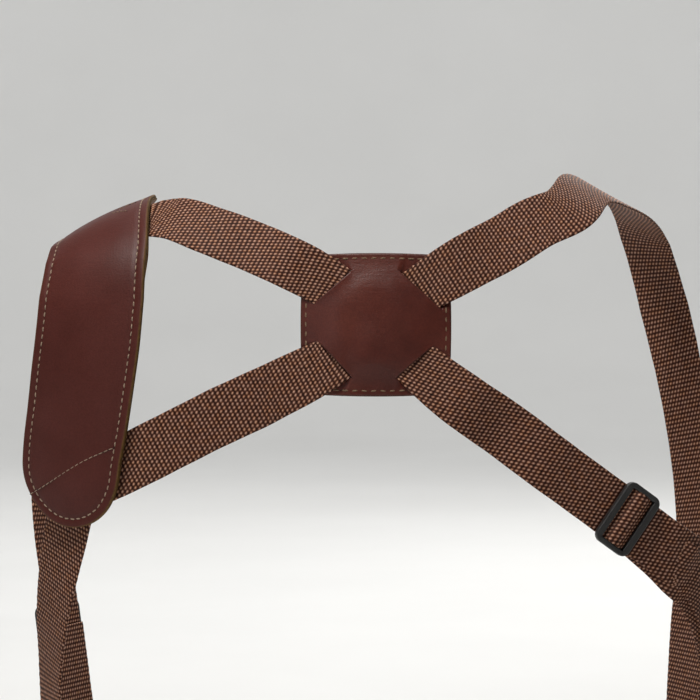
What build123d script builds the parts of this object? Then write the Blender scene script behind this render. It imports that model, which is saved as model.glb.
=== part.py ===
from build123d import *
import os
from math import cos, exp, log, radians, sin, sqrt

# X-back suspenders in their worn shape, in millimetres.
# +X is the wearer's right, +Y the way the wearer faces, +Z up.  The origin lies on the wearer's
# midline, between the two places on the shoulders that the suspenders rest on.

# ---- driving dimensions ----
webbing_width = 32.0
webbing_thickness = 1.6
webbing_gap = 0.3

patch_width = 86.0
patch_height = 82.0
patch_bulge = 1.6
patch_leather = 2.0
patch_lining_leather = 1.2
patch_lean = 8.0
patch_origin = Vector(-2.0, -103.4, -70.0)
cap_underside = 5.5
slit_pinch = 27.0

pad_width = 68.0
pad_shoulder_width = 62.0
pad_outer_leather = 1.6
pad_core_felt = 1.0
pad_lining_leather = 1.0
pad_lining_lift = 3.9

slider_width = 40.0
slider_length = 24.0
slider_corner = 5.0
slider_rail = 4.2
slider_bar = 4.0
slider_window_width = 33.4

clip_width = 36.0
clip_length = 46.0
clip_sheet = 1.2
clip_bar = 4.0
clip_slot_height = 6.0
clip_slot_width = 33.4
clip_pin_radius = 1.15
clip_pin_drop = 17.0
clip_pin_height = 6.4
running_clearance = 0.05
bail_loop_radius = 2.5

# ---- the wearer's upper body, which sets how the webbing lies ----
chest_half_depth = 105.0
shoulder_half_width = 145.0
shoulder_fall = 1.92


def half_width(z):
    """Half the body's width at height z: a sloping shoulder line blended into the chest and waist."""
    shoulder = shoulder_half_width - shoulder_fall * z
    chest = 190.0 + 36.0 / (1.0 + exp(-(z + 230.0) / 45.0))
    return -10.0 * log(exp(-shoulder / 10.0) + exp(-chest / 10.0))


def half_depth(z):
    """Half the body's depth at height z: constant below the shoulder blades, an ellipse above them."""
    rise = min(max((z + 100.0) / 160.0, 0.0), 0.999)
    return chest_half_depth * sqrt(1.0 - rise * rise)


def body_level(point):
    """Zero on the body's surface, negative inside it."""
    return abs(point.X / half_width(point.Z)) ** 3 + abs(point.Y / half_depth(point.Z)) ** 2 - 1.0


def outward(point):
    """The body's outward direction at a point, from the slope of body_level."""
    step = 0.5
    slopes = [
        body_level(point + axis * step) - body_level(point - axis * step)
        for axis in (Vector(1, 0, 0), Vector(0, 1, 0), Vector(0, 0, 1))
    ]
    return Vector(*slopes).normalized()


# A station is a point that the middle of a strap passes through, with the direction it faces and its
# width there.  Lift is the height of the strap's middle above the body.
def lifted(point, lift, width):
    facing = outward(point)
    return point + facing * lift, facing, width


def on_back(x, z, lift=1.2, width=webbing_width):
    reach = half_depth(z) * sqrt(1.0 - abs(x / half_width(z)) ** 3)
    return lifted(Vector(x, -reach, z), lift, width)


def on_front(x, z, lift=1.2, width=webbing_width):
    reach = half_depth(z) * sqrt(1.0 - abs(x / half_width(z)) ** 3)
    return lifted(Vector(x, reach, z), lift, width)


def on_flank(side, y, z, lift=1.2, width=webbing_width):
    reach = half_width(z) * (1.0 - abs(y / half_depth(z)) ** 2) ** (1.0 / 3.0)
    return lifted(Vector(side * reach, y, z), lift, width)


def on_shoulder(x, y, lift=1.2, width=webbing_width):
    low = -60.0
    high = 60.0
    for _ in range(40):
        middle = (low + high) / 2.0
        if body_level(Vector(x, y, middle)) < 0.0:
            low = middle
        else:
            high = middle
    return lifted(Vector(x, y, low), lift, width)


patch_facing = Vector(0, -cos(radians(patch_lean)), sin(radians(patch_lean)))
patch_plane = Plane(origin=patch_origin, x_dir=Vector(1, 0, 0), z_dir=patch_facing)


def on_patch(across, up, height, width=slit_pinch):
    point = patch_origin + patch_plane.x_dir * across + patch_plane.y_dir * up + patch_facing * height
    return point, patch_facing, width


def straight_run(first, last, facing_at, shares):
    """Stations on the straight line from one station to another, all facing the same way."""
    run = last[0] - first[0]
    along = run.normalized()
    facing = (facing_at - along * facing_at.dot(along)).normalized()
    return [(first[0] + run * share, facing, first[2]) for share in shares]


# ---- a strap as a chain of sections ----
def route_sections(stations, spacing=9.0):
    """Planes and widths along a smooth curve through the stations.

    Each span is a cubic with a slope at each station that leans towards the nearer neighbour.
    """
    points = [station[0] for station in stations]
    gaps = [(points[i + 1] - points[i]).length for i in range(len(points) - 1)]
    chords = [(points[i + 1] - points[i]) / gaps[i] for i in range(len(gaps))]
    slopes = [chords[0]]
    for i in range(1, len(gaps)):
        slopes.append((chords[i - 1] * gaps[i] + chords[i] * gaps[i - 1]) / (gaps[i - 1] + gaps[i]))
    slopes.append(chords[-1])
    sections = []
    for i, gap in enumerate(gaps):
        steps = max(1, round(gap / spacing))
        last_step = steps + 1 if i == len(gaps) - 1 else steps
        for step in range(last_step):
            t = step / steps
            point = (
                points[i] * (2 * t**3 - 3 * t**2 + 1)
                + slopes[i] * (gap * (t**3 - 2 * t**2 + t))
                + points[i + 1] * (3 * t**2 - 2 * t**3)
                + slopes[i + 1] * (gap * (t**3 - t**2))
            )
            along = (
                points[i] * ((6 * t**2 - 6 * t) / gap)
                + slopes[i] * (3 * t**2 - 4 * t + 1)
                + points[i + 1] * ((6 * t - 6 * t**2) / gap)
                + slopes[i + 1] * (3 * t**2 - 2 * t)
            ).normalized()
            facing = stations[i][1] * (1 - t) + stations[i + 1][1] * t
            facing = (facing - along * facing.dot(along)).normalized()
            width = stations[i][2] * (1 - t) + stations[i + 1][2] * t
            sections.append((Plane(origin=point, x_dir=along.cross(facing), z_dir=along), width, facing))
    return sections


def section_faces(sections, thickness, lift=0.0):
    """One flat rectangle for each section, lifted off the route along its facing."""
    faces = []
    for plane, width, facing in sections:
        seat = Plane(origin=plane.origin + facing * lift, x_dir=plane.x_dir, z_dir=plane.z_dir)
        with BuildSketch(seat) as profile:
            Rectangle(width, thickness)
        faces.append(profile.sketch)
    return faces


# ---- where the four clips hang ----
def clip_seat(side, y, hang_height):
    """Plane of a clip: x across it, y up, z away from the body.  Its origin is the bar's centre."""
    top, facing, _ = on_flank(side, y, hang_height + 80.0, 3.4)
    bottom, _, _ = on_flank(side, y, hang_height, 3.4)
    up = (top - bottom).normalized()
    level_facing = (facing - up * facing.dot(up)).normalized()
    return Plane(origin=bottom, x_dir=up.cross(level_facing), z_dir=level_facing)


clip_height = -385.0
clip_seats = {
    "right_rear": clip_seat(1, -25.0, clip_height),
    "right_front": clip_seat(1, 46.0, clip_height),
    "left_rear": clip_seat(-1, -32.0, clip_height),
    "left_front": clip_seat(-1, 46.0, clip_height),
}


def above_clip(seat, height, lift):
    """A station straight above a clip's bar, lift away from the plane of the clip."""
    return seat.origin + seat.y_dir * height + seat.z_dir * lift, seat.z_dir, webbing_width


def side_plane(seat):
    """Plane through the middle of a clip or slider: x away from the body, y up."""
    return Plane(origin=seat.origin, x_dir=seat.z_dir, z_dir=seat.x_dir * -1)


loop_middle = bail_loop_radius + webbing_thickness / 2
loop_top = 24.0
sewn_middle = 0.95
sewn_top = 30.0
sewn_tail = 50.0

# ---- strap routes ----
# rear adjusting strap: sewn under the pad's top, through the cross patch, down to the right flank
run_start = on_back(96, -148.5, 3.4)
run_end = on_back(166, -202, 3.4)
run_facing = outward(run_start[0] * 0.4 + run_end[0] * 0.6)
rear_run = straight_run(run_start, run_end, run_facing, (0.0, 0.2, 0.85, 1.0))
adjusting_route = [
    on_back(-145, -15, -5.0, 30.0),
    on_back(-133, -10, -2.4, 30.0),
    on_back(-121, -10.5, 0.6, 30.0),
    on_back(-96, -18, 2.2, 29.5),
    on_back(-70, -27.5, 2.6, 29.5),
    on_patch(-50, 35.5, 4.6, 29.0),
    on_patch(-38, 29.5, 4.7, 28.5),
    on_patch(-24, 21, 4.4),
    on_patch(0, 0, 4.2, 28.5),
    on_patch(21.5, -21, 4.4),
    on_patch(38, -35, 4.8, 30.0),
    on_patch(50, -44, 4.6, 31.0),
    on_back(71, -129.5, 2.8),
] + rear_run + [
    on_back(182, -215, 3.4),
    on_flank(1, -48, -235, 3.4),
    on_flank(1, -34, -262, 3.4),
    on_flank(1, -27, -292, 3.4),
    above_clip(clip_seats["right_rear"], 62.0, 0.6),
    above_clip(clip_seats["right_rear"], loop_top, loop_middle),
]

# shoulder strap: sewn under the pad's lower end, through the cross patch, over the right shoulder
shoulder_route = [
    on_back(-187, -171.5, 4.0),
    on_back(-175, -165.5, 3.3),
    on_back(-167, -162, 3.7),
    on_back(-159.5, -158.3, 4.3),
    on_back(-151, -154, 3.4),
    on_back(-119, -137, 1.6),
    on_back(-90, -122, 1.8),
    on_back(-72, -113.5, 2.4),
    on_patch(-52, -35, 4.5, 31.0),
    on_patch(-39, -28.5, 4.7, 30.0),
    on_patch(-24, -20, 4.5),
    on_patch(-19, -16, 3.5),
    on_patch(-13.2, -11.2, 2.4, 28.5),
    on_patch(0, 0, 2.3, 28.5),
    on_patch(13.2, 11.2, 2.4, 28.5),
    on_patch(19.5, 15.5, 3.5),
    on_patch(25.5, 19.5, 4.5),
    on_patch(40, 28.5, 4.7, 30.0),
    on_patch(52, 35.5, 4.5, 31.0),
    on_back(72, -24, 2.2),
    on_back(90, -13.5, 1.6),
    on_back(106, -7, 0.6),
    on_shoulder(124, -30, -2.2),
    on_shoulder(139, -2, -4.2),
    on_shoulder(152, 26, -4.0),
    on_front(163, -30, -1.0),
    on_front(174, -70, 1.2),
    on_front(184, -115, 1.2),
    on_flank(1, 62, -160, 1.2),
    on_flank(1, 52, -215, 1.4),
    on_flank(1, 47, -270, 2.0),
    above_clip(clip_seats["right_front"], 62.0, sewn_middle),
    above_clip(clip_seats["right_front"], sewn_top, sewn_middle),
]

# pad strap: from the left rear clip, up under the pad, over the left shoulder, down to the front
front_start = on_flank(-1, 50, -205, 3.4)
front_end = on_flank(-1, 46, -320, 3.4)
front_facing = outward(front_start[0] * 0.5 + front_end[0] * 0.5)
front_run = straight_run(front_start, front_end, front_facing, (0.0, 0.2, 0.8, 1.0))
pad_stretch = [
    on_back(-176.5, -172, 1.2),
    on_back(-174.5, -145, 1.2),
    on_back(-171.5, -125, 1.2),
    on_back(-168.5, -102, 1.2),
    on_back(-165.5, -79, 1.2),
    on_back(-163.5, -57, 1.0),
    on_back(-161.5, -34, 0.0),
    on_shoulder(-161, -52, -1.5),
    on_shoulder(-161.5, -36, -5.0),
    on_shoulder(-162, -15, -9.5),
    on_shoulder(-163, 5, -11.0),
    on_shoulder(-165, 25, -9.5),
    on_shoulder(-167, 46, -5.0),
    on_front(-169, -44, -1.0),
    on_front(-173, -70, 1.0),
    on_front(-178, -98, 1.2),
]
pad_strap_route = [
    above_clip(clip_seats["left_rear"], sewn_top, sewn_middle),
    above_clip(clip_seats["left_rear"], 62.0, sewn_middle),
    on_flank(-1, -36, -275, 2.0),
    on_back(-190.5, -245, 1.2),
    on_back(-186, -217, 1.2),
    on_back(-180.5, -192, 1.2),
] + pad_stretch + [
    on_flank(-1, 66, -130, 1.4),
    on_flank(-1, 56, -165, 2.4),
] + front_run + [
    above_clip(clip_seats["left_front"], loop_top, loop_middle),
]

# the lower layers that come back up from the clips to the sliders
return_lift = -2.3


def below(station, lift, droop=0.0):
    """A station shifted inwards from another, and down the body by droop."""
    return station[0] + station[1] * lift - Vector(0, 0, droop), station[1], station[2]


rear_return_start = straight_run(run_start, run_end, run_facing, (0.95, 1.1))
adjusting_return_route = [
    below(rear_return_start[0], return_lift, 3.0),
    below(rear_return_start[1], return_lift, 6.0),
    below(on_back(182, -215, 3.4), return_lift, 8.0),
    below(on_flank(1, -48, -235, 3.4), return_lift, 9.0),
    below(on_flank(1, -34, -262, 3.4), return_lift, 7.0),
    below(on_flank(1, -27, -292, 3.4), return_lift, 3.0),
    above_clip(clip_seats["right_rear"], 62.0, -1.7),
    above_clip(clip_seats["right_rear"], loop_top, -loop_middle),
]
pad_return_start = straight_run(front_start, front_end, front_facing, (0.86, 1.0))
pad_return_route = [
    below(pad_return_start[0], return_lift),
    below(pad_return_start[1], return_lift),
    above_clip(clip_seats["left_front"], loop_top, -loop_middle),
]


# ---- helpers for the pieces ----
def ribbon(stations):
    """Faces of one strap of webbing, end to end."""
    return section_faces(route_sections(stations), webbing_thickness)


def bail_turn(seat, outer_side, inner_side):
    """Webbing folded round a clip's bar.  The sides list (away, up) points, from the top down."""
    with BuildPart() as turn:
        with BuildSketch(side_plane(seat)):
            with BuildLine():
                Polyline(*outer_side, (loop_middle, 0))
                ThreePointArc((loop_middle, 0), (0, -loop_middle), (-loop_middle, 0))
                Polyline((-loop_middle, 0), *reversed(inner_side))
            trace(line_width=webbing_thickness)
        extrude(amount=webbing_width / 2, both=True)
    return turn.part


def open_turn(seat):
    """The turn of an adjustable strap, whose two layers stay apart."""
    return bail_turn(seat, [(loop_middle, loop_top + 0.8)], [(-loop_middle, loop_top + 0.8)])


def sewn_turn(seat):
    """The turn of a fixed strap, whose tail lies against the strap and is sewn to it."""
    outer_side = [(sewn_middle, sewn_top + 0.8), (sewn_middle, sewn_top - 3.0), (loop_middle, 5.0)]
    inner_side = [(-sewn_middle, sewn_tail), (-sewn_middle, sewn_top - 3.0), (-loop_middle, 5.0)]
    return bail_turn(seat, outer_side, inner_side)


# ---- the four stretches of webbing ----
os.makedirs("parts", exist_ok=True)

with BuildPart() as adjusting_strap:
    loft(sections=ribbon(adjusting_route), ruled=True)
    add(open_turn(clip_seats["right_rear"]))
    loft(sections=ribbon(adjusting_return_route), ruled=True)
adjusting_strap.part.label = "adjusting_strap"
export_step(adjusting_strap.part, "parts/adjusting_strap.step")

with BuildPart() as shoulder_strap:
    loft(sections=ribbon(shoulder_route), ruled=True)
    add(sewn_turn(clip_seats["right_front"]))
shoulder_strap.part.label = "shoulder_strap"
export_step(shoulder_strap.part, "parts/shoulder_strap.step")

with BuildPart() as pad_strap:
    loft(sections=ribbon(pad_strap_route), ruled=True)
    add(sewn_turn(clip_seats["left_rear"]))
    add(open_turn(clip_seats["left_front"]))
    loft(sections=ribbon(pad_return_route), ruled=True)
pad_strap.part.label = "pad_strap"
export_step(pad_strap.part, "parts/pad_strap.step")


# ---- shoulder pad: lining, felt and outer leather with rounded ends ----
pad_route = [on_back(-177.8, -188, 1.2)] + pad_stretch


def pad_sections():
    """Sections of the pad: a waist over the shoulder, and a round end at each tip."""
    stations = []
    for point, facing, _ in pad_route:
        waist = exp(-((point.Z / 45.0) ** 2))
        stations.append((point, facing, pad_width + (pad_shoulder_width - pad_width) * waist))
    sections = route_sections(stations, 5.0)
    runs = [0.0]
    for before, after in zip(sections, sections[1:]):
        runs.append(runs[-1] + (after[0].origin - before[0].origin).length)
    rounded = []
    for (plane, width, facing), run in zip(sections, runs):
        radius = width / 2
        inset = radius - min(max(min(run, runs[-1] - run), 0.5), radius)
        rounded.append((plane, 2 * sqrt(radius**2 - inset**2), facing))
    return rounded


with BuildPart() as pad_lining:
    loft(sections=section_faces(pad_sections(), pad_lining_leather, pad_lining_lift), ruled=True)
pad_lining.part.label = "pad_lining"
export_step(pad_lining.part, "parts/pad_lining.step")

felt_lift = pad_lining_lift + (pad_lining_leather + pad_core_felt) / 2 + 0.05
with BuildPart() as pad_felt:
    loft(sections=section_faces(pad_sections(), pad_core_felt, felt_lift), ruled=True)
pad_felt.part.label = "pad_felt"
export_step(pad_felt.part, "parts/pad_felt.step")

outer_lift = felt_lift + (pad_core_felt + pad_outer_leather) / 2 + 0.05
with BuildPart() as pad_outer:
    loft(sections=section_faces(pad_sections(), pad_outer_leather, outer_lift), ruled=True)
pad_outer.part.label = "pad_outer"
export_step(pad_outer.part, "parts/pad_outer.step")

# ---- cross patch: a lining, and an outer leather whose slit middle rises over the crossed straps ----
plate_floor = patch_lining_leather + 0.1
half_w = patch_width / 2
half_h = patch_height / 2
cap_corners = [(-13, 31.5), (12, 31.5), (38, 8), (33, -12), (11, -31), (-13, -31), (-34, -9), (-34, 13)]


def patch_outline():
    """The patch's closed outline: four gently bowed sides."""
    inner_w = half_w - patch_bulge
    inner_h = half_h - patch_bulge
    with BuildLine() as outline:
        ThreePointArc((-inner_w, inner_h), (0, half_h), (inner_w, inner_h))
        ThreePointArc((inner_w, inner_h), (half_w, 0), (inner_w, -inner_h))
        ThreePointArc((inner_w, -inner_h), (0, -half_h), (-inner_w, -inner_h))
        ThreePointArc((-inner_w, -inner_h), (-half_w, 0), (-inner_w, inner_h))
    return outline.line


with BuildPart() as patch_lining:
    with BuildSketch(patch_plane):
        make_face(patch_outline())
    extrude(amount=patch_lining_leather)
    fillet(patch_lining.edges().filter_by(Axis(patch_origin, patch_facing)), 3.0)
patch_lining.part.label = "patch_lining"
export_step(patch_lining.part, "parts/patch_lining.step")


def bridge(inner, outer, across):
    """Leather between the raised middle and the border: a slope from inner to outer, across wide."""
    faces = []
    for point, height in ((inner, cap_underside + patch_leather / 2), (outer, plate_floor + patch_leather / 2)):
        start = patch_plane.from_local_coords(Vector(point[0], point[1], height))
        along = (Vector(*outer) - Vector(*inner)).normalized()
        slope = patch_plane.x_dir * along.X + patch_plane.y_dir * along.Y
        with BuildSketch(Plane(origin=start, x_dir=patch_facing.cross(slope), z_dir=slope)) as profile:
            Rectangle(across, patch_leather)
        faces.append(profile.sketch)
    return faces


with BuildPart() as patch_outer:
    with BuildSketch(patch_plane.offset(plate_floor)):
        make_face(patch_outline())
        with BuildLine():
            Polyline(*cap_corners, close=True)
        make_face(mode=Mode.SUBTRACT)
    extrude(amount=patch_leather)
    fillet(patch_outer.edges().filter_by(Axis(patch_origin, patch_facing)), 0.5)
    with BuildSketch(patch_plane.offset(cap_underside)):
        with BuildLine():
            Polyline(*cap_corners, close=True)
        make_face()
    extrude(amount=patch_leather)
    loft(sections=bridge((-0.5, 30.5), (-0.5, 36), 11), ruled=True)
    loft(sections=bridge((-1, -30), (-1, -35.5), 11), ruled=True)
    loft(sections=bridge((-33, 2), (-38, 2), 9), ruled=True)
    loft(sections=bridge((34, -2), (39, -2), 7), ruled=True)
patch_outer.part.label = "patch_outer"
export_step(patch_outer.part, "parts/patch_outer.step")


# ---- strap sliders: a moulded frame with a sunk middle bar, and the webbing sewn round that bar ----
slider_floor = webbing_thickness / 2 + webbing_gap
slider_height = 4.1
slider_bar_floor = slider_floor + 2.1
slider_bar_height = 1.8
wrap_gap = 0.3 + webbing_thickness


def slider_seat(first, last, facing, share):
    """Plane of a slider on a straight run: x across the strap, y along it, z away from the body."""
    along = (first[0] - last[0]).normalized()
    level_facing = (facing - along * facing.dot(along)).normalized()
    middle = first[0] + (last[0] - first[0]) * share
    return Plane(origin=middle, x_dir=along.cross(level_facing), z_dir=level_facing)


slider_seats = {
    "right": slider_seat(run_start, run_end, run_facing, 0.635),
    "left": slider_seat(front_start, front_end, front_facing, 0.48),
}


def slider_frame(seat):
    """A rounded frame with two windows, one on each side of the middle bar."""
    with BuildPart() as frame:
        with BuildSketch(seat.offset(slider_floor)):
            RectangleRounded(slider_width, slider_length, slider_corner)
            Rectangle(slider_window_width, slider_length - 2 * slider_rail, mode=Mode.SUBTRACT)
        extrude(amount=slider_height)
        rims = frame.faces().filter_by(GeomType.PLANE).sort_by(Axis(seat.origin, seat.z_dir))
        fillet([*rims[-1].edges(), *rims[0].edges()], 0.8)
        with BuildSketch(seat.offset(slider_bar_floor)):
            Rectangle(slider_window_width + 2.0, slider_bar)
        extrude(amount=slider_bar_height)
    return frame.part


def slider_wrap(seat):
    """Webbing wrapped round the middle bar and sewn to itself."""
    middle = slider_bar_floor + slider_bar_height / 2
    with BuildPart() as wrap:
        with BuildSketch(side_plane(seat)):
            with Locations((middle, 0)):
                RectangleRounded(slider_bar_height + 2 * wrap_gap, slider_bar + 2 * wrap_gap, wrap_gap)
                RectangleRounded(slider_bar_height + 0.6, slider_bar + 0.6, 0.3, mode=Mode.SUBTRACT)
        extrude(amount=webbing_width / 2, both=True)
    return wrap.part


for side, seat in slider_seats.items():
    slider = slider_frame(seat)
    slider.label = f"{side}_slider"
    export_step(slider, f"parts/{side}_slider.step")
    wrap = slider_wrap(seat)
    wrap.label = f"{side}_slider_wrap"
    export_step(wrap, f"parts/{side}_slider_wrap.step")


# ---- the four clips ----
clip_ear = 1.0
ear_root = (10.5, 23.5)
ear_shoulder = (13.4, 20.6)
ear_radius = 3.6
pin_head_radius = 1.9
pin_head = 0.8
clip_inner_half = clip_width / 2 - clip_ear
lever_half_width = 15.8
lever_floor = 9.6
lever_top_drop = 13.6
lever_cheek = 1.0
lever_cheek_radius = 3.2
lever_corner = 2.6
lever_sheet = 1.2
lever_tip_drop = 42.0
jaw_half_width = 13.6
jaw_floor = 4.0
jaw_sheet = 1.0
jaw_tip_drop = 44.0
knuckle_radius = 2.6
grip_height = 10.0
grip_half_width = 13.0
grip_tooth = 0.4
pin_hole = clip_pin_radius + running_clearance
pin_spot = (clip_pin_height, -clip_pin_drop)


def clip_back(seat):
    """Back plate: a top bar over a slot for the webbing, and two ears that hold the pin."""
    middle_drop = (clip_length - clip_bar / 2) / 2
    with BuildPart() as back:
        with BuildSketch(seat.offset(-clip_sheet / 2)):
            with Locations((0, -middle_drop)):
                RectangleRounded(clip_width, clip_length + clip_bar / 2, 2.4)
            with Locations((0, -clip_bar / 2 - clip_slot_height / 2)):
                RectangleRounded(clip_slot_width, clip_slot_height, 1.0, mode=Mode.SUBTRACT)
        extrude(amount=clip_sheet)
        for hand in (-1, 1):
            ear_plane = side_plane(seat).offset(hand * (clip_inner_half + clip_ear / 2) - clip_ear / 2)
            with BuildSketch(ear_plane):
                with BuildLine():
                    Polyline(
                        (0, -ear_root[0]),
                        (clip_pin_height, -ear_shoulder[0]),
                        (clip_pin_height, -ear_shoulder[1]),
                        (0, -ear_root[1]),
                        close=True,
                    )
                make_face()
                with Locations(pin_spot):
                    Circle(ear_radius)
                    Circle(pin_hole, mode=Mode.SUBTRACT)
            extrude(amount=clip_ear)
    return back.part


def clip_pin(seat):
    """The pin across the ears, headed at both ends."""
    with BuildPart() as pin:
        with BuildSketch(side_plane(seat)):
            with Locations(pin_spot):
                Circle(clip_pin_radius)
        extrude(amount=clip_width / 2 + 0.2, both=True)
        for hand in (-1, 1):
            start = clip_width / 2 + running_clearance
            if hand < 0:
                start = -start - pin_head
            with BuildSketch(side_plane(seat).offset(start)):
                with Locations(pin_spot):
                    Circle(pin_head_radius)
            extrude(amount=pin_head)
    return pin.part


def clip_lever(seat):
    """Front cover that swings up on the pin: a plate with a turned-in cheek at each side."""
    with BuildPart() as lever:
        with BuildSketch(seat.offset(lever_floor)):
            with Locations((0, -(lever_top_drop + lever_tip_drop) / 2)):
                RectangleRounded(2 * lever_half_width, lever_tip_drop - lever_top_drop, lever_corner)
        extrude(amount=lever_sheet)
        for hand in (-1, 1):
            cheek_plane = side_plane(seat).offset(hand * (lever_half_width - lever_cheek / 2) - lever_cheek / 2)
            with BuildSketch(cheek_plane):
                with BuildLine():
                    Polyline(
                        (clip_pin_height, -13.8),
                        (lever_floor + 0.4, -16.2),
                        (lever_floor + 0.4, -34),
                        (clip_pin_height - 0.6, -20.2),
                        close=True,
                    )
                make_face()
                with Locations(pin_spot):
                    Circle(lever_cheek_radius)
                    Circle(pin_hole, mode=Mode.SUBTRACT)
            extrude(amount=lever_cheek)
    return lever.part


def clip_jaw(seat):
    """Sprung front jaw: a plate hung from a knuckle round the pin."""
    with BuildPart() as jaw:
        with BuildSketch(side_plane(seat)):
            with Locations(pin_spot):
                Circle(knuckle_radius)
            with Locations((jaw_floor + jaw_sheet / 2, -(clip_pin_drop + jaw_tip_drop) / 2)):
                Rectangle(jaw_sheet, jaw_tip_drop - clip_pin_drop)
            with Locations(pin_spot):
                Circle(pin_hole, mode=Mode.SUBTRACT)
        extrude(amount=jaw_half_width, both=True)
    return jaw.part


def clip_grip(seat, floor, thickness, bottom_drop, tooth_side):
    """A ribbed plastic pad: a flat strip with three ridges across it on its biting side."""
    middle = -(bottom_drop - grip_height / 2)
    face = floor + thickness if tooth_side > 0 else floor
    with BuildPart() as grip:
        with BuildSketch(side_plane(seat)):
            with Locations((floor + thickness / 2, middle)):
                Rectangle(thickness, grip_height)
            for up in (-3.2, 0.0, 3.2):
                with BuildLine():
                    Polyline(
                        (face, middle + up - 0.8),
                        (face + tooth_side * grip_tooth, middle + up),
                        (face, middle + up + 0.8),
                        close=True,
                    )
                make_face()
        extrude(amount=grip_half_width, both=True)
    return grip.part


for name, seat in clip_seats.items():
    pieces = {
        "clip_back": clip_back(seat),
        "clip_pin": clip_pin(seat),
        "clip_lever": clip_lever(seat),
        "clip_jaw": clip_jaw(seat),
        "clip_back_grip": clip_grip(seat, clip_sheet / 2 + 0.02, 1.0, clip_length - 1.0, 1),
        "clip_jaw_grip": clip_grip(seat, jaw_floor - 1.22, 1.2, jaw_tip_drop + 0.5, -1),
    }
    for piece, solid in pieces.items():
        solid.label = f"{name}_{piece}"
        export_step(solid, f"parts/{name}_{piece}.step")
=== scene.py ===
import math

import bmesh
import bpy
import numpy as np
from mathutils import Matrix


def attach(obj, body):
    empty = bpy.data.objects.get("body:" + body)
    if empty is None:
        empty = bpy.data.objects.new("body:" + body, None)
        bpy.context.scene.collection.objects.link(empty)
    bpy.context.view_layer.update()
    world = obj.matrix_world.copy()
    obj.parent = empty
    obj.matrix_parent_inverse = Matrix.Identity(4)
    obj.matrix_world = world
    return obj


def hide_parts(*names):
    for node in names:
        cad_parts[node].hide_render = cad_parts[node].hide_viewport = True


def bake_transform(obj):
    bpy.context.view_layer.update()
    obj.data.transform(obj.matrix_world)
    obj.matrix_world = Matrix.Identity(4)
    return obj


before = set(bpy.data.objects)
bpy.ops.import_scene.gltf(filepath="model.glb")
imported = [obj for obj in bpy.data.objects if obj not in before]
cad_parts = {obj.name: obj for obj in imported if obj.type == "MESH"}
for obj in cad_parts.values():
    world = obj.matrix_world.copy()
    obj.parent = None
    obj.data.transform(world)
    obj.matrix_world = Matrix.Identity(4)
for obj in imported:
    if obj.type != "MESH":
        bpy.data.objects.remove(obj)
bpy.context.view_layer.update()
mm = 0.001  # the sizes below are in millimetres, and meshes are written in metres
webbingWidth = 32.0
rng = np.random.default_rng(7)

# camera: level with the shoulder blades, a little above, looking at the wearer's back
cameraSetup = {"target": (-16.8, -104.0, -84.3), "distance": 2600.0, "elevation": 4.0, "lens": 234.2}
tilt = math.radians(cameraSetup["elevation"])
cameraData = bpy.data.cameras.new("camera")
cameraData.lens = cameraSetup["lens"]
cameraData.sensor_width = 36.0
cameraData.clip_start = 0.05
cameraData.clip_end = 30.0
camera = bpy.data.objects.new("camera", cameraData)
back = np.array([0.0, -math.cos(tilt), math.sin(tilt)])
camera.location = (np.array(cameraSetup["target"]) + back * cameraSetup["distance"]) * mm
camera.rotation_euler = (math.radians(90.0 - cameraSetup["elevation"]), 0.0, 0.0)
bpy.context.scene.collection.objects.link(camera)
bpy.context.scene.camera = camera
bpy.context.scene.view_settings.view_transform = "Standard"

# lights: a soft key from above on the left, a weak fill far out on the left, one above, one from the
# wearer's front and one on the backdrop
lightSetup = {
    "key": {"at": (-0.45, -0.68, 1.35), "size": 0.6, "power": 29.0, "tint": (1.0, 0.97, 0.93)},
    "fill": {"at": (-1.2, -2.4, 0.5), "size": 1.2, "power": 3.5, "tint": (0.93, 0.96, 1.0)},
    "top": {"at": (0.2, 0.3, 1.8), "size": 1.2, "power": 5.0, "tint": (1.0, 1.0, 1.0)},
    "front": {"at": (0.8, 2.2, 0.9), "size": 1.4, "power": 16.0, "tint": (1.0, 0.99, 0.97)},
    "wall": {"at": (0.0, 1.5, 2.4), "size": 2.0, "power": 62.0, "tint": (1.0, 1.0, 1.0),
             "aim": (0.0, 3.8, 0.2)},
}


def aimAt(obj, target):
    away = np.array(obj.location) - np.array(target)
    away = away / np.linalg.norm(away)
    obj.rotation_euler = (math.acos(away[2]), 0.0, math.atan2(away[1], away[0]) + math.pi / 2)


for lightName, light in lightSetup.items():
    lamp = bpy.data.lights.new(lightName, "AREA")
    lamp.shape = "DISK"
    lamp.size = light["size"]
    lamp.energy = light["power"]
    lamp.color = light["tint"]
    lampObject = bpy.data.objects.new(lightName, lamp)
    lampObject.location = light["at"]
    aimAt(lampObject, light.get("aim", (0.0, 0.0, -0.12)))
    bpy.context.scene.collection.objects.link(lampObject)

world = bpy.data.worlds.new("studio")
world.use_nodes = True
world.node_tree.nodes["Background"].inputs["Color"].default_value = (0.82, 0.84, 0.86, 1.0)
world.node_tree.nodes["Background"].inputs["Strength"].default_value = 0.07
bpy.context.scene.world = world


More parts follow.
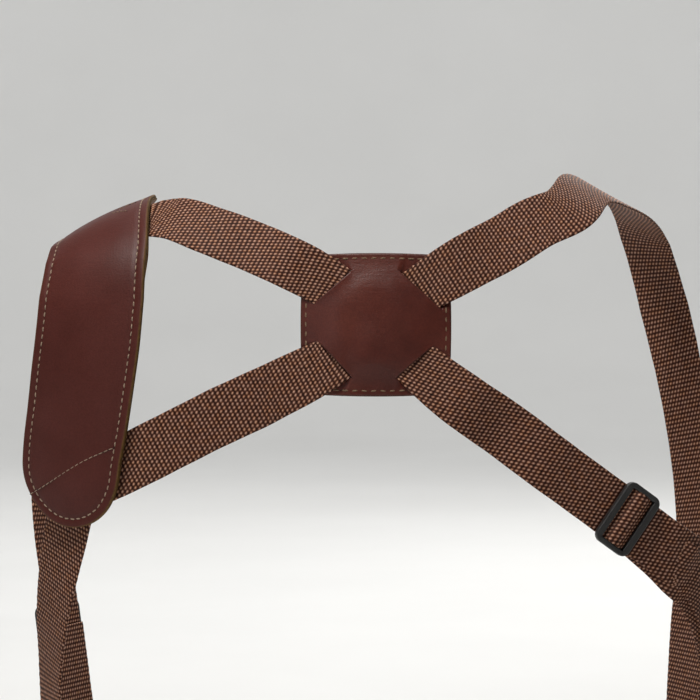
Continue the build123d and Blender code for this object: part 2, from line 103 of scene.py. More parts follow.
# ---- meshes from arrays ----
def buildMesh(name, points, faceSets, uv=None, marks=None):
    # points in millimetres; each face set is an array of corner numbers; uv and marks are per point
    corners = np.concatenate([f.ravel() for f in faceSets])
    sizes = np.concatenate([np.full(len(f), f.shape[1]) for f in faceSets])
    mesh = bpy.data.meshes.new(name)
    mesh.vertices.add(len(points))
    mesh.vertices.foreach_set("co", (np.asarray(points, float) * mm).astype(np.float32).ravel())
    mesh.loops.add(len(corners))
    mesh.loops.foreach_set("vertex_index", corners.astype(np.int32))
    mesh.polygons.add(len(sizes))
    mesh.polygons.foreach_set("loop_start", (np.cumsum(sizes) - sizes).astype(np.int32))
    mesh.update(calc_edges=True)
    if uv is not None:
        layer = mesh.uv_layers.new(name="weave")
        layer.data.foreach_set("uv", np.asarray(uv, float)[corners].astype(np.float32).ravel())
    for markName, values in (marks or {}).items():
        mark = mesh.attributes.new(markName, "FLOAT", "POINT")
        mark.data.foreach_set("value", np.asarray(values, float).astype(np.float32).ravel())
    mesh.shade_smooth()
    piece = bpy.data.objects.new(name, mesh)
    bpy.context.scene.collection.objects.link(piece)
    return piece


def gridFaces(rows, columns, closeRows=False, closeColumns=False):
    # quads of a grid numbered row by row; a closed direction joins its last line to its first
    r = np.arange(rows if closeRows else rows - 1)
    c = np.arange(columns if closeColumns else columns - 1)
    r, c = np.meshgrid(r, c, indexing="ij")
    rNext = (r + 1) % rows
    cNext = (c + 1) % columns
    quads = np.stack([r * columns + c, r * columns + cNext, rNext * columns + cNext, rNext * columns + c], -1)
    return quads.reshape(-1, 4)


def faceOutwards(piece, mergeWithin=None):
    # joins points that coincide, then turns the faces of the closed shell outwards
    work = bmesh.new()
    work.from_mesh(piece.data)
    if mergeWithin is not None:
        bmesh.ops.remove_doubles(work, verts=work.verts, dist=mergeWithin * mm)
    bmesh.ops.recalc_face_normals(work, faces=work.faces)
    work.to_mesh(piece.data)
    work.free()
    piece.data.shade_smooth()
    return piece


def settle(piece, finish, slotName, body, *nodes):
    # gives a piece its material, its body and the CAD nodes that it stands for
    piece.data.materials.clear()
    piece.data.materials.append(finish)
    if body:
        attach(piece, body)
    if nodes:
        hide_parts(*nodes)
    return piece


# ---- finishes ----
def addNode(tree, kind, inputs=None, **settings):
    made = tree.nodes.new(kind)
    for key, value in settings.items():
        setattr(made, key, value)
    for key, value in (inputs or {}).items():
        if isinstance(value, bpy.types.NodeSocket):
            tree.links.new(value, made.inputs[key])
        else:
            made.inputs[key].default_value = value
    return made


def calc(tree, operation, first, second=0.0):
    return addNode(tree, "ShaderNodeMath", {0: first, 1: second}, operation=operation).outputs[0]


def scaled(tree, value, factor, plus):
    # value * factor + plus
    return calc(tree, "ADD", calc(tree, "MULTIPLY", value, factor), plus)


def ramp(tree, factor, stops):
    made = addNode(tree, "ShaderNodeValToRGB", {"Fac": factor})
    bar = made.color_ramp
    while len(bar.elements) < len(stops):
        bar.elements.new(0.5)
    for element, (position, colour) in zip(bar.elements, stops):
        element.position = position
        element.color = (*colour, 1.0)
    return made.outputs["Color"]


def mixColour(tree, factor, first, second, blendType="MIX"):
    made = addNode(tree, "ShaderNodeMix", data_type="RGBA", blend_type=blendType)
    for index, value in ((0, factor), (6, first), (7, second)):
        if isinstance(value, bpy.types.NodeSocket):
            tree.links.new(value, made.inputs[index])
        else:
            made.inputs[index].default_value = value if index == 0 else (*value, 1.0)
    return made.outputs[2]


def noise(tree, vector, scale, detail=3.0, roughness=0.55):
    wanted = {"Vector": vector, "Scale": scale, "Detail": detail, "Roughness": roughness}
    return addNode(tree, "ShaderNodeTexNoise", wanted).outputs["Fac"]


def newFinish(name, sockets):
    finish = bpy.data.materials.new(name)
    finish.use_nodes = True
    shader = finish.node_tree.nodes["Principled BSDF"]
    for key, value in sockets.items():
        shader.inputs[key].default_value = value
    return finish, finish.node_tree, shader


def wire(tree, shader, colour, height, depth, strength, rough=None):
    # joins the colour, a bump whose depth is in millimetres, and a roughness if there is one
    tree.links.new(colour, shader.inputs["Base Color"])
    bump = addNode(tree, "ShaderNodeBump", {"Height": height, "Distance": depth * mm, "Strength": strength})
    tree.links.new(bump.outputs[0], shader.inputs["Normal"])
    if rough is not None:
        tree.links.new(rough, shader.inputs["Roughness"])


def stretched(tree, place, scale, turn=(0.0, 0.0, 0.0)):
    return addNode(tree, "ShaderNodeMapping", {"Vector": place, "Scale": scale, "Rotation": turn}).outputs[0]


def ownPlace(tree, scale=(1.0, 1.0, 1.0), turn=(0.0, 0.0, 0.0)):
    return stretched(tree, addNode(tree, "ShaderNodeTexCoord").outputs["Object"], scale, turn)


# gap and low are painted shade in the hollows of the weave, crest is a painted highlight on the tops of the
# floats
webbingLook = {
    "gap": (0.010, 0.0035, 0.0025),
    "low": (0.050, 0.019, 0.013),
    "body": (0.185, 0.080, 0.050),
    "crestPaintedHighlight": (0.50, 0.305, 0.225),
    "golden": (1.03, 0.92, 0.76),
    "roughness": 0.55,
    "relief": 0.35,
    "slant": 0.8,
}


def webbingFinish():
    # height of the weave = ribs cos(2 pi y) + floats cos(pi x) cos(pi y), from the strap's own x and y,
    # with x slanted within each rib by the distance from the rib's middle
    look = webbingLook
    finish, tree, shader = newFinish("wovenWebbing", {
        "Roughness": look["roughness"], "Specular IOR Level": 0.10})
    place = addNode(tree, "ShaderNodeUVMap", uv_map="weave").outputs["UV"]
    parts = addNode(tree, "ShaderNodeSeparateXYZ", {"Vector": place})
    y = parts.outputs["Y"]
    fromRib = calc(tree, "SUBTRACT", calc(tree, "FRACT", calc(tree, "ADD", y, 0.5)), 0.5)
    x = scaled(tree, fromRib, look["slant"], parts.outputs["X"])
    floats = calc(tree, "MULTIPLY", calc(tree, "COSINE", calc(tree, "MULTIPLY", x, math.pi)),
                  calc(tree, "COSINE", calc(tree, "MULTIPLY", y, math.pi)))
    ribs = calc(tree, "COSINE", calc(tree, "MULTIPLY", y, 2.0 * math.pi))
    height = scaled(tree, floats, 0.30, scaled(tree, ribs, 0.21, 0.44))
    grains = noise(tree, stretched(tree, place, (0.45, 0.8, 1.0)), 1.0, 2.0)
    shade = scaled(tree, calc(tree, "SUBTRACT", grains, 0.5), 0.40, height)
    # colour by weave height: painted shade darkens the gaps between threads and a painted highlight lightens
    # the crests, with random tone from the grain noise
    colour = ramp(tree, shade, ((0.12, look["gap"]), (0.30, look["low"]), (0.58, look["body"]),
                                (0.92, look["crestPaintedHighlight"])))
    patches = noise(tree, stretched(tree, place, (0.3, 0.35, 1.0)), 1.0, 1.0)
    warm = ramp(tree, patches, ((0.42, (0.0, 0.0, 0.0)), (0.68, (1.0, 1.0, 1.0))))
    colour = mixColour(tree, warm, colour, mixColour(tree, 1.0, colour, look["golden"], "MULTIPLY"))
    fibres = noise(tree, stretched(tree, place, (7.0, 1.6, 1.0)), 1.0, 3.0, 0.7)
    wire(tree, shader, colour, scaled(tree, fibres, 0.35, height), look["relief"], 0.7)
    return finish


def leatherFinish(name, deep, middle, pale, burnish, roughness, shine, crease=0.0):
    # smooth leather: cloudy colour, fine grain and pores, fine creases one way, and a burnished rim
    finish, tree, shader = newFinish(name, {"Specular IOR Level": shine})
    place = ownPlace(tree)
    clouds = noise(tree, place, 26.0, 4.0)
    colour = ramp(tree, clouds, ((0.30, deep), (0.52, middle), (0.74, pale)))
    grain = noise(tree, place, 950.0, 4.0, 0.65)
    speck = ramp(tree, grain, ((0.30, (0.78, 0.76, 0.76)), (0.62, (1.08, 1.07, 1.07))))
    colour = mixColour(tree, 1.0, colour, speck, "MULTIPLY")
    rim = addNode(tree, "ShaderNodeAttribute", attribute_name="rim").outputs["Fac"]
    streak = noise(tree, place, 420.0, 3.0)
    edgeColour = ramp(tree, streak, ((0.3, tuple(0.55 * c for c in burnish)), (0.7, burnish)))
    colour = mixColour(tree, rim, colour, edgeColour)
    rough = scaled(tree, noise(tree, place, 60.0, 4.0), 0.22, roughness - 0.11)
    rough = scaled(tree, rim, 0.4, rough)
    pores = addNode(tree, "ShaderNodeTexVoronoi", {"Vector": place, "Scale": 1050.0}).outputs["Distance"]
    lines = noise(tree, ownPlace(tree, (60.0, 60.0, 700.0), (0.0, math.radians(-38.0), 0.0)), 1.0, 3.0)
    relief = scaled(tree, pores, 0.5, calc(tree, "MULTIPLY", grain, 0.35))
    relief = scaled(tree, lines, crease, relief)
    wire(tree, shader, colour, relief, 0.25, 0.45, rough)
    return finish


def threadFinish(name, pale, dark):
    # waxed thread: twisted strands along the stitch, painted dark as shade where it dives into its hole
    finish, tree, shader = newFinish(name, {"Roughness": 0.6, "Specular IOR Level": 0.3})
    place = addNode(tree, "ShaderNodeUVMap", uv_map="weave").outputs["UV"]
    twist = addNode(tree, "ShaderNodeTexWave", {"Vector": place, "Scale": 1.6, "Distortion": 0.6},
                    bands_direction="DIAGONAL").outputs["Fac"]
    colour = ramp(tree, twist, ((0.1, tuple(0.55 * c for c in pale)), (0.8, pale)))
    sunk = addNode(tree, "ShaderNodeAttribute", attribute_name="sunk").outputs["Fac"]
    wire(tree, shader, mixColour(tree, sunk, colour, dark), twist, 0.1, 0.6)
    return finish


def feltFinish():
    finish, tree, shader = newFinish("padFeltFinish", {"Roughness": 0.95, "Sheen Weight": 0.4})
    fuzz = noise(tree, ownPlace(tree), 900.0, 5.0, 0.7)
    colour = ramp(tree, fuzz, ((0.3, (0.03, 0.022, 0.018)), (0.7, (0.09, 0.07, 0.055))))
    wire(tree, shader, colour, fuzz, 0.3, 0.8)
    return finish


def mouldedFinish(name, dark, light, roughness):
    # moulded plastic: faint cloud in the colour, fine satin texture, a few scuffs
    finish, tree, shader = newFinish(name, {"Specular IOR Level": 0.5})
    place = ownPlace(tree)
    colour = ramp(tree, noise(tree, place, 120.0, 4.0), ((0.3, dark), (0.75, light)))
    scuffs = noise(tree, ownPlace(tree, (300.0, 60.0, 300.0)), 1.0, 5.0, 0.7)
    rough = scaled(tree, scuffs, 0.25, roughness - 0.12)
    wire(tree, shader, colour, noise(tree, place, 2600.0, 2.0), 0.05, 0.35, rough)
    return finish


def metalFinish(name, dark, light, roughness):
    # brushed antique plate: streaks along the clip, darker clouds, small worn spots
    finish, tree, shader = newFinish(name, {"Metallic": 1.0})
    streaks = noise(tree, ownPlace(tree, (1800.0, 1800.0, 60.0)), 1.0, 3.0)
    clouds = noise(tree, ownPlace(tree), 90.0, 5.0)
    shade = scaled(tree, streaks, 0.45, calc(tree, "MULTIPLY", clouds, 0.55))
    colour = ramp(tree, shade, ((0.35, dark), (0.62, light)))
    wire(tree, shader, colour, streaks, 0.03, 0.35, scaled(tree, clouds, 0.3, roughness - 0.15))
    return finish


webbingMaterial = webbingFinish()
patchLeather = leatherFinish("patchLeather", (0.050, 0.0080, 0.0045), (0.074, 0.0135, 0.0078),
                             (0.098, 0.0210, 0.0125), (0.050, 0.016, 0.008), 0.40, 0.34, crease=0.9)
padLeather = leatherFinish("padLeather", (0.060, 0.0110, 0.0072), (0.071, 0.0148, 0.0105),
                           (0.080, 0.0185, 0.0140), (0.150, 0.080, 0.022), 0.48, 0.24, crease=0.6)
liningLeather = leatherFinish("liningLeather", (0.10, 0.045, 0.022), (0.15, 0.07, 0.036), (0.20, 0.10, 0.055),
                              (0.115, 0.062, 0.016), 0.68, 0.2)
# each thread's second colour is the painted shade at and in its stitch holes
padThread = threadFinish("padThread", (0.42, 0.31, 0.22), (0.010, 0.004, 0.003))
patchThread = threadFinish("patchThread", (0.24, 0.155, 0.09), (0.008, 0.003, 0.002))
webbingThread = threadFinish("webbingThread", (0.26, 0.15, 0.11), (0.010, 0.004, 0.003))
feltMaterial = feltFinish()
sliderPlastic = mouldedFinish("sliderPlastic", (0.010, 0.010, 0.010), (0.018, 0.018, 0.018), 0.42)
gripPlastic = mouldedFinish("gripPlastic", (0.014, 0.013, 0.012), (0.03, 0.028, 0.026), 0.6)
clipMetal = metalFinish("clipMetal", (0.17, 0.145, 0.12), (0.42, 0.38, 0.33), 0.34)
springSteel = metalFinish("springSteel", (0.34, 0.32, 0.30), (0.62, 0.60, 0.57), 0.28)
print("finishes ready")

# ---- the wearer's upper body, as in the CAD model ----
bodyForm = {"shoulderHalfWidth": 145.0, "shoulderFall": 1.92, "chestHalfDepth": 105.0}


def halfWidth(z):
    shoulder = bodyForm["shoulderHalfWidth"] - bodyForm["shoulderFall"] * z
    chest = 190.0 + 36.0 / (1.0 + np.exp(-(z + 230.0) / 45.0))
    return -10.0 * np.log(np.exp(-shoulder / 10.0) + np.exp(-chest / 10.0))


def halfDepth(z):
    rise = np.clip((z + 100.0) / 160.0, 0.0, 0.999)
    return bodyForm["chestHalfDepth"] * np.sqrt(1.0 - rise * rise)


def bodyLevel(point):
    return abs(point[0] / halfWidth(point[2])) ** 3 + abs(point[1] / halfDepth(point[2])) ** 2 - 1.0


def outward(point):
    steps = np.eye(3) * 0.5
    slope = np.array([bodyLevel(point + step) - bodyLevel(point - step) for step in steps])
    return slope / np.linalg.norm(slope)


# a station is a point that the middle of a strap passes through, the way it faces there, and its width
def lifted(point, lift, width):
    facing = outward(point)
    return point + facing * lift, facing, width


def onBack(x, z, lift=1.2, width=webbingWidth, side=-1.0):
    reach = halfDepth(z) * np.sqrt(1.0 - abs(x / halfWidth(z)) ** 3)
    return lifted(np.array([x, side * reach, z]), lift, width)


def onFront(x, z, lift=1.2, width=webbingWidth):
    return onBack(x, z, lift, width, 1.0)


def onFlank(side, y, z, lift=1.2, width=webbingWidth):
    reach = halfWidth(z) * (1.0 - abs(y / halfDepth(z)) ** 2) ** (1.0 / 3.0)
    return lifted(np.array([side * reach, y, z]), lift, width)


def onShoulder(x, y, lift=1.2, width=webbingWidth):
    low = -60.0
    high = 60.0
    for _ in range(40):
        middle = (low + high) / 2.0
        if bodyLevel(np.array([x, y, middle])) < 0.0:
            low = middle
        else:
            high = middle
    return lifted(np.array([x, y, low]), lift, width)


patchForm = {"origin": (-2.0, -103.4, -70.0), "lean": 8.0, "width": 86.0, "height": 82.0, "bulge": 1.6}
patchOrigin = np.array(patchForm["origin"])
patchLean = math.radians(patchForm["lean"])
patchX = np.array([1.0, 0.0, 0.0])
patchFacing = np.array([0.0, -math.cos(patchLean), math.sin(patchLean)])
patchY = np.cross(patchFacing, patchX)


def patchPoint(across, up, height):
    across, up, height = np.broadcast_arrays(across, up, height)
    return patchOrigin + across[..., None] * patchX + up[..., None] * patchY + height[..., None] * patchFacing


def onPatch(across, up, height, width=27.0):
    return patchPoint(float(across), float(up), float(height)), patchFacing, width


def straightRun(first, last, facingAt, shares):
    run = last[0] - first[0]
    along = run / np.linalg.norm(run)
    facing = facingAt - along * facingAt.dot(along)
    facing = facing / np.linalg.norm(facing)
    return [(first[0] + run * share, facing, first[2]) for share in shares]


def makeSeat(origin, up, facing):
    up = up / np.linalg.norm(up)
    away = facing - up * facing.dot(up)
    away = away / np.linalg.norm(away)
    return {"origin": origin, "x": np.cross(up, away), "y": up, "z": away}


def clipSeat(side, y, hangHeight=-385.0):
    top, facing, _ = onFlank(side, y, hangHeight + 80.0, 3.4)
    bottom, _, _ = onFlank(side, y, hangHeight, 3.4)
    return makeSeat(bottom, top - bottom, facing)


clipSeats = {
    "right_rear": clipSeat(1, -25.0),
    "right_front": clipSeat(1, 46.0),
    "left_rear": clipSeat(-1, -32.0),
    "left_front": clipSeat(-1, 46.0),
}


def aboveClip(seat, height, lift, facing=None):
    point = seat["origin"] + seat["y"] * height + seat["z"] * lift
    return point, seat["z"] if facing is None else facing, webbingWidth


bailTurn = {"middle": 3.3, "loopTop": 24.0, "sewnMiddle": 0.95, "sewnTop": 30.0, "tail": 50.0}


def roundBar(seat):
    # half a turn under the bar: the strap's middle keeps one distance from it and faces away from it
    turn = []
    for angle in np.radians((0.0, 45.0, 90.0, 135.0, 180.0)):
        away = seat["z"] * math.cos(angle) - seat["y"] * math.sin(angle)
        turn.append((seat["origin"] + away * bailTurn["middle"], away, webbingWidth))
    return turn


def openTurn(seat):
    middle = bailTurn["middle"]
    down = [aboveClip(seat, h, middle) for h in (bailTurn["loopTop"], 12.0, 5.0)]
    up = [aboveClip(seat, h, -middle, -seat["z"]) for h in (5.0, 12.0, 23.6)]
    return down + roundBar(seat) + up


def sewnTurn(seat):
    course = ((bailTurn["sewnTop"], bailTurn["sewnMiddle"]), (24.0, 1.05), (15.0, 2.1), (6.0, 3.1))
    down = [aboveClip(seat, h, lift) for h, lift in course]
    up = [aboveClip(seat, h, -lift, -seat["z"]) for h, lift in reversed(course)]
    tail = aboveClip(seat, bailTurn["tail"], -bailTurn["sewnMiddle"], -seat["z"])
    return down + roundBar(seat) + up + [tail]


# ---- strap routes, as in the CAD model ----
def runOn(place, *rows):
    # neighbouring stations that are given in the same way
    return [place(*row) for row in rows]


runStart = onBack(96, -148.5, 3.4)
runEnd = onBack(166, -202, 3.4)
runFacing = outward(runStart[0] * 0.4 + runEnd[0] * 0.6)
rearRun = straightRun(runStart, runEnd, runFacing, (0.0, 0.2, 0.85, 1.0))
flankRun = [onBack(182, -215, 3.4)] + runOn(
    onFlank, (1, -48, -235, 3.4), (1, -34, -262, 3.4), (1, -27, -292, 3.4))
adjustingRoute = [
    *runOn(onBack, (-145, -15, -5.0, 30.0), (-133, -10, -2.4, 30.0), (-121, -10.5, 0.6, 30.0),
          (-96, -18, 2.2, 29.5), (-70, -27.5, 2.6, 29.5)),
    *runOn(onPatch, (-50, 35.5, 4.6, 29.0), (-38, 29.5, 4.7, 28.5), (-24, 21, 4.4), (0, 0, 4.2, 28.5),
          (21.5, -21, 4.4), (38, -35, 4.8, 30.0), (50, -44, 4.6, 31.0)),
    onBack(71, -129.5, 2.8),
] + rearRun + flankRun + [aboveClip(clipSeats["right_rear"], 62.0, 0.6)] + openTurn(clipSeats["right_rear"])

shoulderRoute = [
    *runOn(onBack, (-187, -171.5, 4.0), (-175, -165.5, 3.3), (-167, -162, 3.7), (-159.5, -158.3, 4.3),
          (-151, -154, 3.4), (-119, -137, 1.6), (-90, -122, 1.8), (-72, -113.5, 2.4)),
    *runOn(onPatch, (-52, -35, 4.5, 31.0), (-39, -28.5, 4.7, 30.0), (-24, -20, 4.5), (-19, -16, 3.5),
          (-13.2, -11.2, 2.4, 28.5), (0, 0, 2.3, 28.5), (13.2, 11.2, 2.4, 28.5), (19.5, 15.5, 3.5),
          (25.5, 19.5, 4.5), (40, 28.5, 4.7, 30.0), (52, 35.5, 4.5, 31.0)),
    *runOn(onBack, (72, -24, 2.2), (90, -13.5, 1.6), (106, -7, 0.6)),
    *runOn(onShoulder, (124, -30, -2.2), (139, -2, -4.2), (152, 26, -4.0)),
    *runOn(onFront, (163, -30, -1.0), (174, -70, 1.2), (184, -115, 1.2)),
    *runOn(onFlank, (1, 62, -160, 1.2), (1, 52, -215, 1.4), (1, 47, -270, 2.0)),
    aboveClip(clipSeats["right_front"], 62.0, bailTurn["sewnMiddle"]),
] + sewnTurn(clipSeats["right_front"])

frontStart = onFlank(-1, 50, -205, 3.4)
frontEnd = onFlank(-1, 46, -320, 3.4)
frontFacing = outward(frontStart[0] * 0.5 + frontEnd[0] * 0.5)
frontRun = straightRun(frontStart, frontEnd, frontFacing, (0.0, 0.2, 0.8, 1.0))
padStretch = [
    *runOn(onBack, (-176.5, -172, 1.2), (-174.5, -145, 1.2), (-171.5, -125, 1.2), (-168.5, -102, 1.2),
          (-165.5, -79, 1.2), (-163.5, -57, 1.0), (-161.5, -34, 0.0)),
    *runOn(onShoulder, (-161, -52, -1.5), (-161.5, -36, -5.0), (-162, -15, -9.5), (-163, 5, -11.0),
          (-165, 25, -9.5), (-167, 46, -5.0)),
    *runOn(onFront, (-169, -44, -1.0), (-173, -70, 1.0), (-178, -98, 1.2)),
]
padStrapRoute = sewnTurn(clipSeats["left_rear"])[::-1] + [
    aboveClip(clipSeats["left_rear"], 62.0, bailTurn["sewnMiddle"]),
    onFlank(-1, -36, -275, 2.0),
    *runOn(onBack, (-190.5, -245, 1.2), (-186, -217, 1.2), (-180.5, -192, 1.2)),
] + padStretch + [
    *runOn(onFlank, (-1, 66, -130, 1.4), (-1, 56, -165, 2.4)),
] + frontRun + openTurn(clipSeats["left_front"])


def below(station, lift, droop=0.0):
    return station[0] + station[1] * lift - np.array([0.0, 0.0, droop]), station[1], station[2]


rearReturn = straightRun(runStart, runEnd, runFacing, (0.64, 0.78, 0.95, 1.1)) + flankRun
returnDrops = ((-2.0, 0.0), (-2.1, 1.2), (-2.3, 3.0), (-2.3, 6.0), (-2.3, 8.0), (-2.3, 9.0), (-2.3, 7.0),
               (-2.3, 3.0))
adjustingReturnRoute = [below(station, *drop) for station, drop in zip(rearReturn, returnDrops)] + [
    aboveClip(clipSeats["right_rear"], 62.0, -1.7),
    aboveClip(clipSeats["right_rear"], bailTurn["loopTop"], -bailTurn["middle"]),
]
frontReturn = straightRun(frontStart, frontEnd, frontFacing, (0.5, 0.7, 0.86, 1.0))
padReturnRoute = [below(station, -2.1 - 0.07 * i) for i, station in enumerate(frontReturn)] + [
    aboveClip(clipSeats["left_front"], bailTurn["loopTop"], -bailTurn["middle"]),
]


def strapCourse(stations, spacing):
    # smooth course through the stations: on each span a cubic whose slope at a station is the mean of the
    # two chords there, each weighted by the other span's length; then even steps along its length
    points = np.array([station[0] for station in stations])
    facings = np.array([station[1] for station in stations])
    widths = np.array([station[2] for station in stations])
    gaps = np.linalg.norm(np.diff(points, axis=0), axis=1)[:, None]
    chords = np.diff(points, axis=0) / gaps
    inner = (chords[:-1] * gaps[1:] + chords[1:] * gaps[:-1]) / (gaps[:-1] + gaps[1:])
    slopes = np.vstack([chords[:1], inner, chords[-1:]])
    t = (np.arange(48) / 48.0)[None, :, None]
    gap = gaps[:, None, :]
    place = (points[:-1, None] * (2 * t**3 - 3 * t**2 + 1) + slopes[:-1, None] * gap * (t**3 - 2 * t**2 + t)
             + points[1:, None] * (3 * t**2 - 2 * t**3) + slopes[1:, None] * gap * (t**3 - t**2))
    place = np.vstack([place.reshape(-1, 3), points[-1:]])
    facing = np.vstack([(facings[:-1, None] * (1 - t) + facings[1:, None] * t).reshape(-1, 3), facings[-1:]])
    width = (widths[:-1, None] * (1 - t[..., 0]) + widths[1:, None] * t[..., 0]).reshape(-1)
    width = np.append(width, widths[-1])
    runs = np.concatenate([[0.0], np.cumsum(np.linalg.norm(np.diff(place, axis=0), axis=1))])
    even = np.linspace(0.0, runs[-1], max(2, int(round(runs[-1] / spacing)) + 1))

    def evenly(values):
        return np.stack([np.interp(even, runs, values[:, k]) for k in range(3)], -1)

    place = evenly(place)
    along = np.gradient(place, axis=0)
    along /= np.linalg.norm(along, axis=1, keepdims=True)
    facing = evenly(facing)
    facing -= along * np.sum(facing * along, axis=1, keepdims=True)
    facing /= np.linalg.norm(facing, axis=1, keepdims=True)
    return {"place": place, "facing": facing, "across": np.cross(along, facing),
            "width": np.interp(even, runs, width), "run": even}


# ---- webbing ----
weave = {"rib": 2.6, "ends": 28, "rowsPerRib": 3, "floor": 0.50, "ribHeight": 0.17, "floatHeight": 0.29,
         "selvedge": 0.42, "cup": 0.25}


def webbingStrap(name, stations, startRun=0.0):
    # ring round the strap: 2 points to a warp end outside, 1 inside, 1 at each selvedge.
    # height = floor + ribs (0.5 + 0.5 cos 2 pi y) + floats (0.5 + 0.5 cos pi x cos pi y),
    # with x in ends and y in ribs
    course = strapCourse(stations, weave["rib"] / weave["rowsPerRib"])
    half = weave["ends"] / 2.0
    outer = np.arange(-half, half + 0.25, 0.5)
    inner = np.arange(half, -half - 0.5, -1.0)
    x = np.concatenate([outer, [half + 0.45], inner, [-half - 0.45]])
    side = np.concatenate([np.ones_like(outer), [0.0], -np.ones_like(inner), [0.0]])
    pattern = np.concatenate([outer, [half + 0.5], inner + 1.0, [-half + 0.5]])
    y = (course["run"] + startRun) / weave["rib"]
    rows, ring = np.meshgrid(y, np.arange(len(x)), indexing="ij")
    slanted = pattern[ring] + webbingLook["slant"] * (rows - np.round(rows))
    floats = np.cos(math.pi * slanted) * np.cos(math.pi * rows)
    ribs = np.cos(2.0 * math.pi * rows)
    edge = np.clip((half - abs(x)) / 1.2, 0.0, 1.0)
    swell = weave["selvedge"] + (1.0 - weave["selvedge"]) * edge
    height = (weave["floor"] + weave["ribHeight"] * (0.5 + 0.5 * ribs)
              + weave["floatHeight"] * (0.5 + 0.5 * floats))
    height = height * (0.72 + 0.28 * swell[ring]) * side[ring]
    height += weave["cup"] * (0.3 - (x[ring] / half) ** 2) * np.sin(course["run"] / 57.0)[:, None]
    sway = 0.004 * np.sin(course["run"] / 9.0) + 0.003 * np.sin(course["run"] / 3.7 + 1.0)
    breadth = course["width"] / weave["ends"] * (1.0 + sway)
    sideways = x[ring] * breadth[:, None]
    points = (course["place"][:, None] + course["across"][:, None] * sideways[..., None]
              + course["facing"][:, None] * height[..., None])
    count = len(x)
    faces = gridFaces(len(y), count, closeColumns=True)
    startCap = np.arange(count)[None, :]
    endCap = (len(y) - 1) * count + np.arange(count)[None, ::-1]
    uv = np.stack([pattern[ring], rows], -1).reshape(-1, 2)
    return faceOutwards(buildMesh(name, points.reshape(-1, 3), [faces, startCap, endCap], uv))


strapRoutes = {"adjustingStrap": (adjustingRoute, "adjusting_strap"),
               "shoulderStrap": (shoulderRoute, "shoulder_strap"),
               "padStrap": (padStrapRoute, "pad_strap")}
strapFaces = 0
for name, (stations, node) in strapRoutes.items():
    strap = settle(webbingStrap(name, stations), webbingMaterial, "webbing", "root", node)
    strapFaces += len(strap.data.polygons)
print("three straps woven:", strapFaces, "faces")

# ---- sliders: the webbing humped over the sunk bar, and the layer that comes back from the clip ----
hump = ((8.3, 1.75), (6.4, 2.35), (4.4, 3.9), (2.3, 5.35), (0.0, 5.85))


def sliderSeat(first, last, facing, share):
    return makeSeat(first[0] + (last[0] - first[0]) * share, first[0] - last[0], facing)


sliderSeats = {
    "right": sliderSeat(runStart, runEnd, runFacing, 0.635),
    "left": sliderSeat(frontStart, frontEnd, frontFacing, 0.48),
}


humpWidth = 32.6
humpCourse = list(hump) + [(-y, h) for y, h in hump[-2::-1]]
for side, seat in sliderSeats.items():
    stations = [(seat["origin"] + seat["y"] * y + seat["z"] * h, seat["z"], humpWidth) for y, h in humpCourse]
    piece = webbingStrap(f"{side}SliderWebbing", stations, startRun=1.3)
    settle(piece, webbingMaterial, "webbing", f"{side}_slider_body", f"{side}_slider_wrap")

returnStraps = {
    "right": (adjustingReturnRoute, runEnd[0]),
    "left": (padReturnRoute, frontEnd[0]),
}
for side, (stations, blendEnd) in returnStraps.items():
    piece = settle(webbingStrap(f"{side}ReturnStrap", stations), webbingMaterial, "webbing", None)
    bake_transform(piece)
print("slider webbing and return layers made")

# ---- shoulder pad ----
padForm = {"width": 68.0, "shoulderWidth": 62.0, "stitchInset": 5.0, "crown": 0.9, "droop": 1.3, "step": 1.7}
padRoute = [onBack(-177.8, -188, 1.2)] + padStretch
padNarrowing = padForm["shoulderWidth"] - padForm["width"]
padStations = [(p, f, padForm["width"] + padNarrowing * math.exp(-((p[2] / 45.0) ** 2)))
               for p, f, _ in padRoute]
padCentre = strapCourse(padStations, 1.0)
padLength = padCentre["run"][-1]


def padOutline():
    # up one side, round the far tip, down the other side and round the near tip, each with the line's point
    # straight inside it: half the width to each side of the line, and a half circle at each tip
    nearR = padCentre["width"][0] / 2.0
    farR = padCentre["width"][-1] / 2.0
    straight = np.linspace(nearR, padLength - farR, int((padLength - nearR - farR) / padForm["step"]))
    halfAt = np.interp(straight, padCentre["run"], padCentre["width"]) / 2.0
    halfTurn = np.linspace(0.0, math.pi, 64)[1:-1]
    v = np.concatenate([straight, padLength - farR + farR * np.sin(halfTurn), straight[::-1],
                        nearR - nearR * np.sin(halfTurn)])
    u = np.concatenate([halfAt, farR * np.cos(halfTurn), -halfAt[::-1], -nearR * np.cos(halfTurn)])
    hubV = np.concatenate([straight, np.full(len(halfTurn), padLength - farR), straight[::-1],
                           np.full(len(halfTurn), nearR)])
    return u, v, hubV


outlineU, outlineV, hubV = padOutline()
outlineR = np.hypot(outlineU, outlineV - hubV)


def onPad(u, v, w):
    # a point u across, v along and w above the pad's middle line
    frames = [np.stack([np.interp(v, padCentre["run"], padCentre[key][:, k]) for k in range(3)], -1)
              for key in ("place", "across", "facing")]
    facing = frames[2] / np.linalg.norm(frames[2], axis=-1, keepdims=True)
    w = w - padForm["droop"] * (u / 34.0) ** 2
    return frames[0] + frames[1] * u[..., None] + facing * w[..., None]


